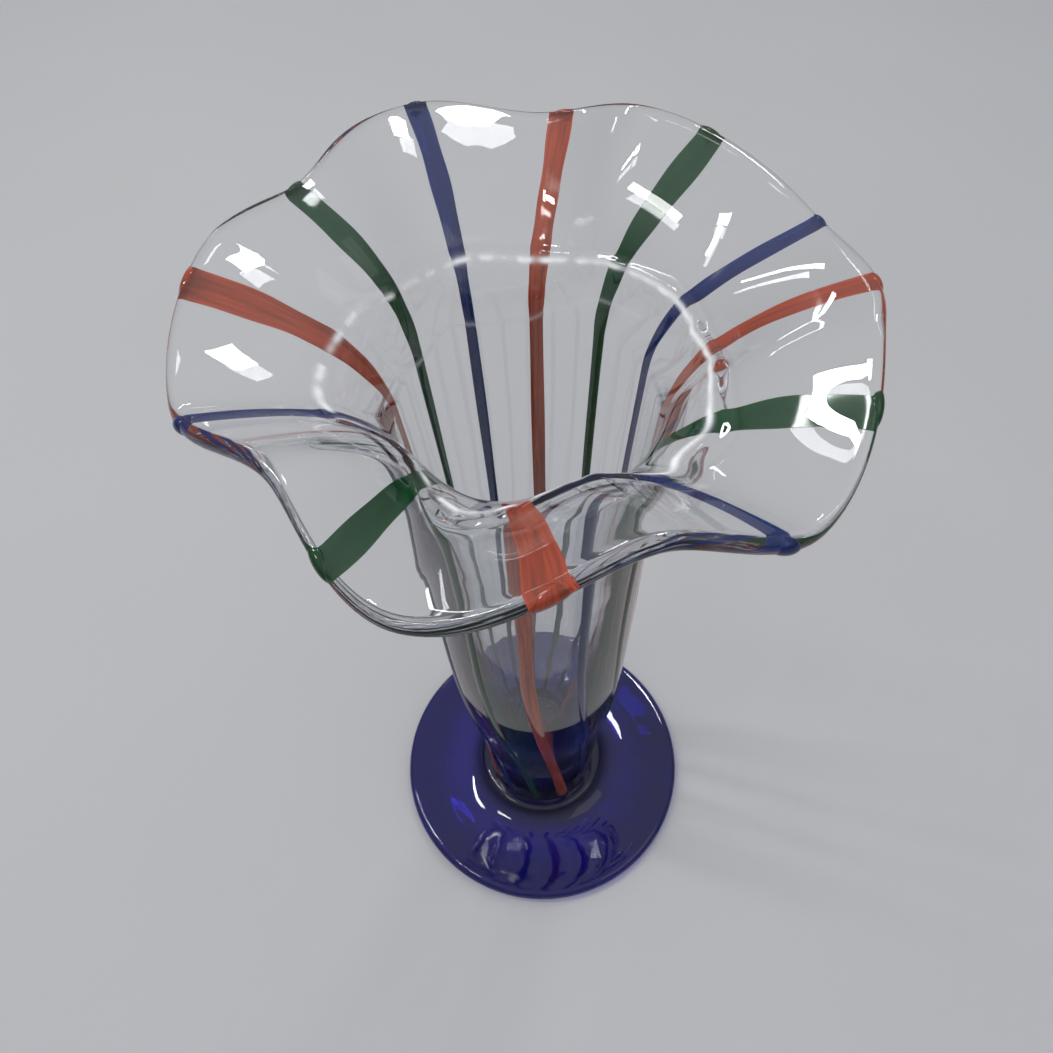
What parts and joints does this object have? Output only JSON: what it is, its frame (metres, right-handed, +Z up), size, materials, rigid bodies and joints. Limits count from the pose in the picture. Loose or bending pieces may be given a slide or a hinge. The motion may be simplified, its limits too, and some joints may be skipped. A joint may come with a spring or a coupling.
{
  "type": "ruffled glass vase",
  "caption": "Trumpet-shaped blown glass vase with a ruffled, flared rim, coloured canes up its clear wall and a domed disc foot, for flowers.",
  "frame": {"origin": "centre of the ring on which the foot rests", "axes": "+Z up the vase's axis towards the mouth, +X and +Y level, with one cane near +Y at the throat"},
  "size_m": [0.112, 0.1178, 0.2216],
  "materials": {
    "clear_glass": "gloss",
    "cobalt_glass": "gloss",
    "blue_glass": "gloss",
    "red_glass": "gloss",
    "green_glass": "gloss"
  },
  "bodies": {
    "root": {"foot": "cobalt_glass", "glass_body": "clear_glass", "cane_blue_1": "blue_glass", "cane_red_1": "red_glass", "cane_green_1": "green_glass", "cane_blue_2": "blue_glass", "cane_red_2": "red_glass", "cane_green_2": "green_glass", "cane_blue_3": "blue_glass", "cane_red_3": "red_glass", "cane_green_3": "green_glass", "cane_blue_4": "blue_glass", "cane_red_4": "red_glass", "cane_green_4": "green_glass"}
  },
  "joints": []
}
